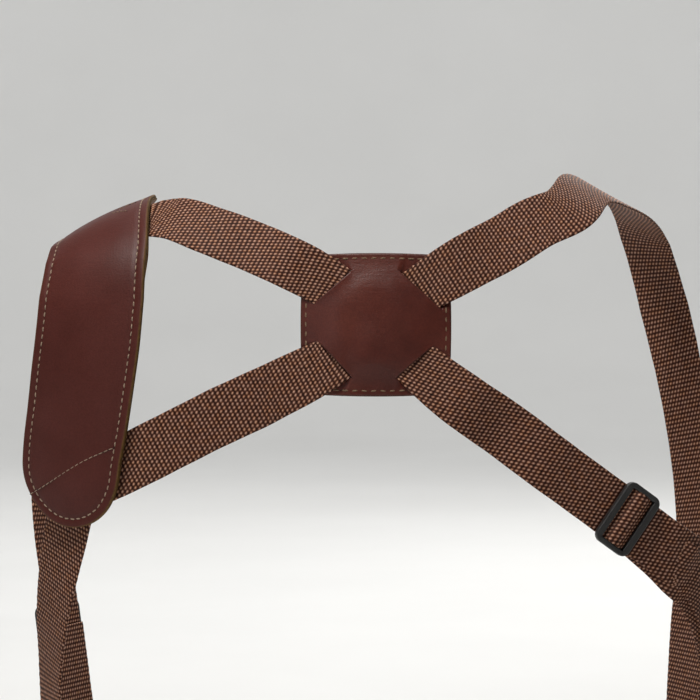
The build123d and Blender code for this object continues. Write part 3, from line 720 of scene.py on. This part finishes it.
def padShell(name, profile, wave=0.0):
    # profile rows: distance in from the rim, share of the way from 8 mm in to the middle, height, rim mark.
    # the point is the outline drawn in towards the middle line by that distance
    inset, share, height, mark = (np.array(column) for column in zip(*profile))
    reach = inset[None, :] + share[None, :] * (outlineR[:, None] - inset[None, :])
    scale = 1.0 - reach / outlineR[:, None]
    u = outlineU[:, None] * scale
    v = hubV[:, None] + (outlineV - hubV)[:, None] * scale
    w = np.broadcast_to(height[None, :], u.shape).copy()
    inside = np.clip((reach - 6.5) / 10.0, 0.0, 1.0)
    waves = np.sin(v / 23.0 + u / 31.0) + 0.6 * np.sin(v / 11.0 - u / 17.0 + 1.0)
    w += wave * inside * waves * np.sign(w - 4.9)
    points = onPad(u, v, w)
    marks = {"rim": np.broadcast_to(mark[None, :], u.shape).reshape(-1)}
    piece = buildMesh(name, points.reshape(-1, 3), [gridFaces(*u.shape, closeRows=True)], None, marks)
    return faceOutwards(piece, mergeWithin=0.02)


crown = padForm["crown"]
topShares = np.array((0.0, 0.12, 0.26, 0.42, 0.6, 0.8, 1.0))
outerProfile = [(9.0, 1.0, 5.5, 0.0), (9.0, 0.5, 5.5, 0.0), (8.5, 0.0, 5.45, 0.0), (6.5, 0.0, 5.0, 0.0),
                (1.0, 0.0, 4.98, 0.3), (0.25, 0.0, 5.02, 1.0), (0.0, 0.0, 5.25, 1.0), (-0.05, 0.0, 5.75, 1.0),
                (0.0, 0.0, 6.2, 1.0), (0.22, 0.0, 6.52, 0.8), (0.6, 0.0, 6.68, 0.25), (1.1, 0.0, 6.74, 0.0),
                (2.2, 0.0, 6.76, 0.0), (3.4, 0.0, 6.68, 0.0), (4.2, 0.0, 6.5, 0.0), (5.0, 0.0, 6.36, 0.0),
                (5.8, 0.0, 6.5, 0.0), (6.7, 0.0, 6.78, 0.0), (8.0, 0.0, 6.98, 0.0)]
outerProfile += [(9.5, s, 7.05 + crown * (1.0 - (1.0 - s) ** 2.2), 0.0) for s in topShares]
padOuter = padShell("padOuterLeather", outerProfile, wave=0.10)
settle(padOuter, padLeather, "leather", "root", "pad_outer")

liningProfile = [(9.0, 1.0, 4.35, 0.0), (9.0, 0.5, 4.35, 0.0), (8.0, 0.0, 4.4, 0.0), (6.0, 0.0, 4.85, 0.0),
                 (1.0, 0.0, 4.9, 0.4), (0.3, 0.0, 4.86, 1.0), (0.05, 0.0, 4.6, 1.0), (0.0, 0.0, 4.2, 1.0),
                 (0.1, 0.0, 3.85, 1.0), (0.5, 0.0, 3.62, 0.6), (1.2, 0.0, 3.55, 0.0), (3.6, 0.0, 3.55, 0.0),
                 (5.0, 0.0, 3.75, 0.0), (6.2, 0.0, 3.5, 0.0), (9.0, 0.0, 3.42, 0.0), (9.0, 0.3, 3.4, 0.0),
                 (9.0, 0.65, 3.4, 0.0), (9.0, 1.0, 3.4, 0.0)]
settle(padShell("padLiningLeather", liningProfile), liningLeather, "lining_leather", "root", "pad_lining")

feltProfile = [(9.0, 1.0, 4.45, 0.0), (9.0, 0.0, 4.5, 0.0), (7.6, 0.0, 4.6, 0.0), (7.3, 0.0, 4.85, 0.0),
               (7.6, 0.0, 5.1, 0.0), (9.0, 0.0, 5.38, 0.0), (9.0, 1.0, 5.4, 0.0)]
settle(padShell("padFeltCore", feltProfile), feltMaterial, "felt", "root", "pad_felt")
print("pad made:", len(padOuter.data.polygons), "faces")


# ---- stitches ----
def stitchRow(path, facing, pitch, length, thick, closed=False):
    # even stitches along a path: each is a short tube, thickest in its middle, its ends sunk by the square
    # of the distance from the middle and painted darker towards them as shade; a dark hole of painted shade
    # lies between each two
    steps = np.linalg.norm(np.diff(path, axis=0), axis=1)
    runs = np.concatenate([[0.0], np.cumsum(steps)])
    count = max(1, int(round(runs[-1] / pitch)))
    pitch = runs[-1] / count
    centres = (np.arange(count) + 0.5) * pitch

    def along(at, values):
        return np.stack([np.interp(at, runs, values[:, k]) for k in range(3)], -1)

    def tubes(at, size, radius, lift, sink, sunk, rings, sides):
        middle = along(at, path)
        ahead = along(at + 0.4, path) - along(at - 0.4, path)
        ahead /= np.linalg.norm(ahead, axis=1, keepdims=True)
        up = along(at, facing)
        up -= ahead * np.sum(up * ahead, axis=1, keepdims=True)
        up /= np.linalg.norm(up, axis=1, keepdims=True)
        sideways = np.cross(ahead, up)
        reach = np.linspace(-1.0, 1.0, rings)
        fat = radius * np.sqrt(np.clip(1.0 - abs(reach) ** 3, 0.02, 1.0))
        angle = np.linspace(0.0, 2.0 * math.pi, sides, endpoint=False)
        jitter = rng.uniform(-0.06, 0.06, (len(at), 1, 1))
        a = (reach * size / 2.0)[None, :, None] + 0.0 * angle
        b = fat[None, :, None] * np.cos(angle) + reach[None, :, None] * jitter * size
        c = lift - sink * (reach**2)[None, :, None] + 0.85 * fat[None, :, None] * np.sin(angle)
        a, b, c = np.broadcast_arrays(a, b, c)
        shape = (middle[:, None, None] + ahead[:, None, None] * a[..., None]
                 + sideways[:, None, None] * b[..., None] + up[:, None, None] * c[..., None])
        base = np.arange(len(at))[:, None, None] * rings * sides
        quads = (base + gridFaces(rings, sides, closeColumns=True)[None]).reshape(-1, 4)
        caps = np.stack([np.arange(sides)[::-1], (rings - 1) * sides + np.arange(sides)])
        caps = (base + caps[None]).reshape(-1, sides)
        uv = np.stack(np.broadcast_arrays((reach * size)[None, :, None], (angle / 2.0)[None, None, :],), -1)
        uv = np.broadcast_to(uv, (len(at), rings, sides, 2)).reshape(-1, 2)
        # painted shade: full on the hole pieces, rising towards the ends of the lying stitches
        dark = (sunk + (1.0 - sunk) * abs(reach) ** 6)[None, :, None]
        dark = np.broadcast_to(dark, (len(at), rings, sides))
        return shape.reshape(-1, 3), quads, caps, uv, dark.reshape(-1)

    lying = tubes(centres, length, thick / 2.0, 0.30 * thick, 0.62 * thick, 0.0, 7, 8)
    holes = np.arange(count + (0 if closed else 1)) * pitch
    sunk = tubes(holes, 0.30 * pitch, 0.62 * thick, -0.42 * thick, 0.0, 1.0, 5, 8)
    return lying, sunk


def stitches(name, rows, finish, slotName, body):
    # joins many rows of stitches into one piece
    pointSets, quadSets, capSets, uvSets, holeShadeSets = [], [], [], [], []
    start = 0
    for row in rows:
        for shape, quads, caps, uv, dark in stitchRow(*row):
            pointSets.append(shape)
            quadSets.append(quads + start)
            capSets.append(caps + start)
            uvSets.append(uv)
            holeShadeSets.append(dark)
            start += len(shape)
    piece = buildMesh(name, np.concatenate(pointSets), [np.concatenate(quadSets), np.concatenate(capSets)],
                      np.concatenate(uvSets), {"sunk": np.concatenate(holeShadeSets)})
    faceOutwards(piece)
    return settle(piece, finish, slotName, body)


def padPath(u, v, w):
    # a path on the pad and the way the pad faces along it
    place = onPad(u, v, w)
    return place, onPad(u, v, w + 1.0) - place


stitchScale = 1.0 - padForm["stitchInset"] / outlineR
rimU = outlineU * stitchScale
rimV = hubV + (outlineV - hubV) * stitchScale
rimU = np.append(rimU, rimU[0])
rimV = np.append(rimV, rimV[0])
padSeam, padSeamUp = padPath(rimU, rimV, np.full(len(rimU), 6.36))
liningSeam, liningSeamUp = padPath(rimU, rimV, np.full(len(rimU), 3.75))


def padLine(first, last):
    # a straight seam across the pad's crown between two spots given across and along
    share = np.linspace(0.0, 1.0, 24)
    u = first[0] + (last[0] - first[0]) * share
    v = first[1] + (last[1] - first[1]) * share
    rise = 7.0 + padForm["crown"] * (1.0 - np.clip(abs(u) / 28.0, 0.0, 1.0) ** 2.2)
    return padPath(u, v, rise)


padStitch = {"pitch": 4.3, "length": 3.3, "thick": 0.78}
padRows = [(padSeam, padSeamUp, *padStitch.values(), True),
           (liningSeam, -liningSeamUp, *padStitch.values(), True)]
strapLines = (((-26.6, 13.6), (28.6, 53.6)), ((8.4, 190.0), (18.6, 184.0)), ((12.0, 195.6), (22.6, 197.4)))
for first, last in strapLines:
    line, lineUp = padLine(first, last)
    padRows.append((line, lineUp, 3.6, 3.2, 0.5))
stitches("padStitching", padRows, padThread, "leather", "root")
print("pad stitched")

# ---- cross patch ----
capCorners = np.array([(-13.0, 31.5), (12.0, 31.5), (38.0, 8.0), (33.0, -12.0), (11.0, -31.0), (-13.0, -31.0),
                       (-34.0, -9.0), (-34.0, 13.0)])
patchRise = {"lining": 1.2, "border": 3.3, "leather": 2.0, "skived": 1.35, "cap": 7.5, "join": 5.1,
             "tightLip": 6.85, "clearLip": 7.45}
patchStitch = {"inset": 3.0, "pitch": 5.4, "length": 4.3, "thick": 0.95}
angles = np.linspace(-math.pi, math.pi, 720, endpoint=False)
cosA = np.cos(angles)[:, None]
sinA = np.sin(angles)[:, None]


def polarPoints(radius, height):
    return patchPoint(radius * cosA, radius * sinA, height).reshape(-1, 3)


def radiusAt(outline, values=None):
    # distance from the middle to a closed outline in each direction, read from its own points
    direction = np.arctan2(outline[:, 1], outline[:, 0])
    order = np.argsort(direction)
    data = np.hypot(outline[:, 0], outline[:, 1]) if values is None else values
    return np.interp(angles, direction[order], data[order], period=2.0 * math.pi)


sideSteps = 200
bridgeSides = (0, 2, 4, 6)
slitSides = (1, 3, 5, 7)


def densify(corners):
    share = np.linspace(0.0, 1.0, sideSteps, endpoint=False)[:, None]
    nextCorners = np.roll(corners, -1, axis=0)
    return np.concatenate([a + (b - a) * share for a, b in zip(corners, nextCorners)])


def bowedOutline(inset=0.0, corner=3.0):
    # four bowed sides: each bulges by the square of the distance from its middle, with rounded corners
    halfW = patchForm["width"] / 2.0 - inset
    halfH = patchForm["height"] / 2.0 - inset
    bulge = patchForm["bulge"]
    turn = np.linspace(0.0, 2.0 * math.pi, 4000, endpoint=False)
    c, s = np.cos(turn), np.sin(turn)
    square = np.maximum(abs(c) / halfW, abs(s) / halfH)
    a, b = c / square, s / square
    a = np.where(abs(abs(a) - halfW) < 1e-9, np.sign(a) * (halfW - bulge * (b / halfH) ** 2), a)
    b = np.where(abs(abs(b) - halfH) < 1e-9, np.sign(b) * (halfH - bulge * (a / halfW) ** 2), b)
    overA = abs(a) - (halfW - bulge - corner)
    overB = abs(b) - (halfH - bulge - corner)
    both = (overA > 0) & (overB > 0)
    length = np.hypot(overA, overB)
    shrink = np.where(both, np.minimum(1.0, corner / np.maximum(length, 1e-6)), 1.0)
    a = np.where(both, np.sign(a) * (halfW - bulge - corner + overA * shrink), a)
    b = np.where(both, np.sign(b) * (halfH - bulge - corner + overB * shrink), b)
    return np.stack([a, b], -1)


def smooth(t):
    t = np.clip(t, 0.0, 1.0)
    return t * t * (3.0 - 2.0 * t)


capOutline = densify(capCorners)
edgeShare = np.tile(np.linspace(0.0, 1.0, sideSteps, endpoint=False), len(capCorners))
slitEdges = np.repeat([0.0, 1.0] * len(slitSides), sideSteps)
openness = slitEdges * smooth(edgeShare / 0.13) * smooth((1.0 - edgeShare) / 0.13)
capRadius = radiusAt(capOutline)
slitOpen = radiusAt(capOutline, openness)
slitOpen[slitOpen < 1e-3] = 0.0
outerRadius = radiusAt(bowedOutline())


def capRelief(a, b):
    # soft rises over the two crossed straps, a shallow dent left of the middle, and slow waves
    overA = np.exp(-(((a + b) / math.sqrt(2.0)) / 15.0) ** 4)
    overB = np.exp(-(((a - b) / math.sqrt(2.0)) / 15.0) ** 4)
    dent = np.exp(-(((a + 11.0) ** 2 + (b - 1.0) ** 2) / 60.0))
    waves = 0.07 * np.sin((a * 0.5 + b) / 5.2 + 0.6) + 0.05 * np.sin((a - 0.6 * b) / 3.7)
    dome = 1.3 * (1.0 - (a * a + b * b) / 1000.0)
    return dome + 0.25 * overA + 0.20 * overB - 0.6 * dent + waves


def edgeDistance(a, b, numbers):
    # distance from each point to the nearest of the chosen sides of the raised middle
    nearest = np.full(a.shape, 1e3)
    for k in numbers:
        start = capCorners[k]
        run = capCorners[(k + 1) % 8] - start
        t = np.clip(((a - start[0]) * run[0] + (b - start[1]) * run[1]) / run.dot(run), 0.0, 1.0)
        nearest = np.minimum(nearest, np.hypot(a - start[0] - run[0] * t, b - start[1] - run[1] * t))
    return np.where(nearest < 0.02, 0.0, nearest)


def leatherThickness(a, b):
    # skived thin along the slits
    near = np.exp(-((edgeDistance(a, b, slitSides) / 3.0) ** 2))
    return patchRise["leather"] + (patchRise["skived"] - patchRise["leather"]) * near


def capHeight(a, b):
    # the raised middle sinks a little to each slit and slopes down to the border at the four bridges
    tight = np.exp(-((edgeDistance(a, b, (1, 7)) / 7.0) ** 2))
    clear = np.exp(-((edgeDistance(a, b, (3, 5)) / 7.0) ** 2))
    height = patchRise["cap"] + (patchRise["tightLip"] - patchRise["cap"]) * tight
    height = height + (patchRise["clearLip"] - patchRise["cap"]) * clear
    return patchRise["join"] + (height - patchRise["join"]) * np.tanh(edgeDistance(a, b, bridgeSides) / 8.0)


def borderHeight(a, b, gape):
    # flat, rising to the bridges, and much steeper at the ends of the slits
    fall = np.tanh(edgeDistance(a, b, bridgeSides) / (6.5 - 4.9 * gape))
    return patchRise["join"] + (patchRise["border"] - patchRise["join"]) * fall


def patchShell():
    # in polar steps: the raised middle runs from the centre to the slits' outline and the border from there
    # to the rim; where a slit is shut the two meet at one height, and where it is open they part
    gape = slitOpen[:, None]
    capShare = np.array((0.0, 0.06, 0.14, 0.23, 0.33, 0.43, 0.53, 0.62, 0.70, 0.77, 0.83, 0.88, 0.92, 0.955,
                         0.98))
    capBack = np.array((0.9, 0.45, 0.15, 0.0))
    capDrop = np.array((0.0, 0.05, 0.2, 0.5))
    rs = capRadius[:, None]
    r = np.concatenate([np.minimum(capShare[None] * rs, rs - 1.0 * gape), rs - capBack[None] * gape], axis=1)
    share = r / rs
    a = r * cosA
    b = r * sinA
    smoothTop = capHeight(a, b)
    under = smoothTop - leatherThickness(a, b)
    top = smoothTop + capRelief(a, b) * smooth((1.0 - share) / 0.35)
    top[:, -4:] -= capDrop[None] * gape
    under[:, -4:] += capDrop[None] * 0.8 * gape
    capR = np.concatenate([r, r[:, ::-1]], axis=1)
    capH = np.concatenate([top, under[:, ::-1]], axis=1)

    ro = outerRadius[:, None]
    slope = np.array((0.0, 0.06, 0.14, 0.24, 0.36, 0.5, 0.64, 0.78, 0.9, 1.0))
    lipOut = np.array((0.0, 0.2, 0.6))
    inner = rs + lipOut[None] * gape
    rimIn = np.array((1.2, 0.5, 0.12, 0.0))
    rimDrop = np.array((0.04, 0.16, 0.5, 0.95))
    across = inner[:, -1:] + (ro - 1.6 - inner[:, -1:]) * slope[None, 1:]
    borderR = np.concatenate([inner, across, ro - rimIn[None]], axis=1)
    borderTop = borderHeight(borderR * cosA, borderR * sinA, gape)
    borderUnder = borderTop - leatherThickness(borderR * cosA, borderR * sinA)
    borderTop[:, 3:] -= 0.12 * np.exp(-((((ro - borderR) - patchStitch["inset"]) / 0.8) ** 2))[:, 3:]
    borderTop[:, :3] -= np.array((0.4, 0.15, 0.0))[None] * gape
    borderUnder[:, :3] += np.array((0.5, 0.2, 0.0))[None] * gape
    borderUnder = np.maximum(borderUnder, patchRise["lining"] + 0.05)
    borderTop[:, -4:] -= rimDrop[None]
    borderUnder[:, -4:] = patchRise["lining"] + 0.06 + np.array((0.0, 0.0, 0.05, 0.3))[None]
    ringR = np.concatenate([borderR, borderR[:, ::-1]], axis=1)
    ringH = np.concatenate([borderTop, borderUnder[:, ::-1]], axis=1)
    capPoints = polarPoints(capR, capH)
    n = len(angles)
    capColumns = capR.shape[1]
    ringColumns = ringR.shape[1]
    closedHere = (slitOpen == 0.0) & (np.roll(slitOpen, -1) == 0.0)
    capFaces = gridFaces(n, capColumns, closeRows=True).reshape(n, capColumns - 1, 4)
    wall = capColumns // 2 - 1
    capFaces = np.concatenate([np.delete(capFaces, wall, axis=1).reshape(-1, 4), capFaces[~closedHere, wall]])
    ringFaces = gridFaces(n, ringColumns, closeRows=True, closeColumns=True).reshape(n, ringColumns, 4)
    ringFaces = np.concatenate([ringFaces[:, :-1].reshape(-1, 4), ringFaces[~closedHere, -1]])
    points = np.concatenate([capPoints, polarPoints(ringR, ringH)])
    capMark = np.zeros_like(capR)
    capMark[:, wall - 1:wall + 3] = 0.5 * gape
    ringMark = np.zeros_like(ringR)
    half = ringColumns // 2
    ringMark[:, half - 2:half + 2] = 1.0
    marks = {"rim": np.concatenate([capMark.ravel(), ringMark.ravel()])}
    piece = buildMesh("patchOuterLeather", points, [capFaces, ringFaces + len(capPoints)], None, marks)
    return faceOutwards(piece, mergeWithin=0.003)


patchOuter = settle(patchShell(), patchLeather, "leather", "root", "patch_outer")


def liningShell():
    # a flat plate with the patch's outline and rounded rims, in polar steps
    ro = outerRadius[:, None]
    shares = np.linspace(0.0, 0.96, 12)
    r = np.concatenate([shares[None] * (ro - 1.0), ro - np.array((0.7, 0.15, 0.0))[None]], axis=1)
    top = np.full(r.shape, patchRise["lining"])
    top[:, -2:] -= np.array((0.12, 0.45))
    under = np.zeros(r.shape)
    under[:, -2:] += np.array((0.12, 0.45))
    under += 0.05 * np.exp(-((ro - r - patchStitch["inset"]) / 0.8) ** 2)
    radius = np.concatenate([r, r[:, ::-1]], axis=1)
    height = np.concatenate([top, under[:, ::-1]], axis=1)
    mark = np.zeros(radius.shape)
    half = r.shape[1]
    mark[:, half - 2:half + 2] = 1.0
    faces = gridFaces(len(angles), radius.shape[1], closeRows=True)
    piece = buildMesh("patchLiningLeather", polarPoints(radius, height), [faces], None, {"rim": mark.ravel()})
    return faceOutwards(piece, mergeWithin=0.003)


settle(liningShell(), liningLeather, "lining_leather", "root", "patch_lining")

seamOutline = bowedOutline(patchStitch["inset"], 4.0)
seamOutline = np.vstack([seamOutline, seamOutline[:1]])
seamRise = borderHeight(seamOutline[:, 0], seamOutline[:, 1], 0.5) - 0.12
seamTop = patchPoint(seamOutline[:, 0], seamOutline[:, 1], seamRise)
seamUnder = patchPoint(seamOutline[:, 0], seamOutline[:, 1], np.full(len(seamOutline), 0.02))
seamUp = np.broadcast_to(patchFacing, seamTop.shape)
stitchArgs = (patchStitch["pitch"], patchStitch["length"], patchStitch["thick"], True)
stitches("patchStitching", [(seamTop, seamUp, *stitchArgs), (seamUnder, -seamUp, *stitchArgs)],
         patchThread, "leather", "root")
print("cross patch made:", len(patchOuter.data.polygons), "faces")


# ---- strap ends sewn at the clips ----
def sewnBox(seat):
    # a rectangle of stitches with a cross in it, on the outside of the strap and on the tail behind it
    rows = []
    corners = np.array([(-12.0, 31.5), (12.0, 31.5), (12.0, 47.0), (-12.0, 47.0)])
    loop = np.vstack([corners, corners[:1]])
    lines = [loop, corners[[0, 2]], corners[[1, 3]]]
    for line in lines:
        for side in (1.0, -1.0):
            lift = side * (bailTurn["sewnMiddle"] + 1.02)
            share = np.linspace(0.0, len(line) - 1.0, 12 * len(line))
            across = np.interp(share, np.arange(len(line)), line[:, 0])
            up = np.interp(share, np.arange(len(line)), line[:, 1])
            path = seat["origin"] + seat["x"] * across[:, None] + seat["y"] * up[:, None] + seat["z"] * lift
            rows.append((path, np.broadcast_to(seat["z"] * side, path.shape), 3.0, 2.5, 0.7))
    return rows


boxRows = sewnBox(clipSeats["right_front"]) + sewnBox(clipSeats["left_rear"])
stitches("strapEndStitching", boxRows, webbingThread, "webbing", "root")

# ---- moulded and metal parts keep their CAD shape and get their finish ----
nodeFinishes = {"slider": sliderPlastic, "clip_back": clipMetal, "clip_lever": clipMetal,
                "clip_pin": springSteel, "clip_jaw": springSteel, "clip_back_grip": gripPlastic,
                "clip_jaw_grip": gripPlastic}
for nodeName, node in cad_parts.items():
    for ending, finish in nodeFinishes.items():
        if nodeName.endswith("_" + ending):
            node.data.materials.clear()
            node.data.materials.append(finish)

# ---- floor and backdrop: one pale sheet that curves up all round ----
stageForm = {"floor": -0.455, "flat": 3.4, "bend": 1.3, "top": 4.2}


def studioSheet():
    # a flat round floor, a quarter circle and a wall, turned about the upright axis
    bend = np.linspace(0.0, math.pi / 2, 24)
    out = np.concatenate([np.linspace(0.0, stageForm["flat"], 8),
                          stageForm["flat"] + stageForm["bend"] * np.sin(bend[1:])])
    up = np.concatenate([np.zeros(8), stageForm["bend"] * (1.0 - np.cos(bend[1:]))])
    out = np.append(out, out[-1])
    up = np.append(up, stageForm["top"]) + stageForm["floor"]
    turn = np.linspace(0.0, 2.0 * math.pi, 96, endpoint=False)[:, None]
    points = np.stack([out * np.cos(turn), out * np.sin(turn), up + 0.0 * turn], -1)
    sheet = buildMesh("studioSheet", points.reshape(-1, 3) / mm, [gridFaces(96, len(out), closeRows=True)])
    faceOutwards(sheet, mergeWithin=0.5)  # then turned over, since the bowl is seen from inside
    sheet.data.flip_normals()
    return sheet


floor = studioSheet()
floorFinish, floorTree, floorShader = newFinish("paleFloor", {"Roughness": 0.85})
floorNoise = noise(floorTree, ownPlace(floorTree), 3.0, 3.0)
floorTree.links.new(ramp(floorTree, floorNoise, ((0.2, (0.74, 0.74, 0.73)), (0.8, (0.79, 0.79, 0.78)))),
                    floorShader.inputs["Base Color"])
floor.data.materials.append(floorFinish)
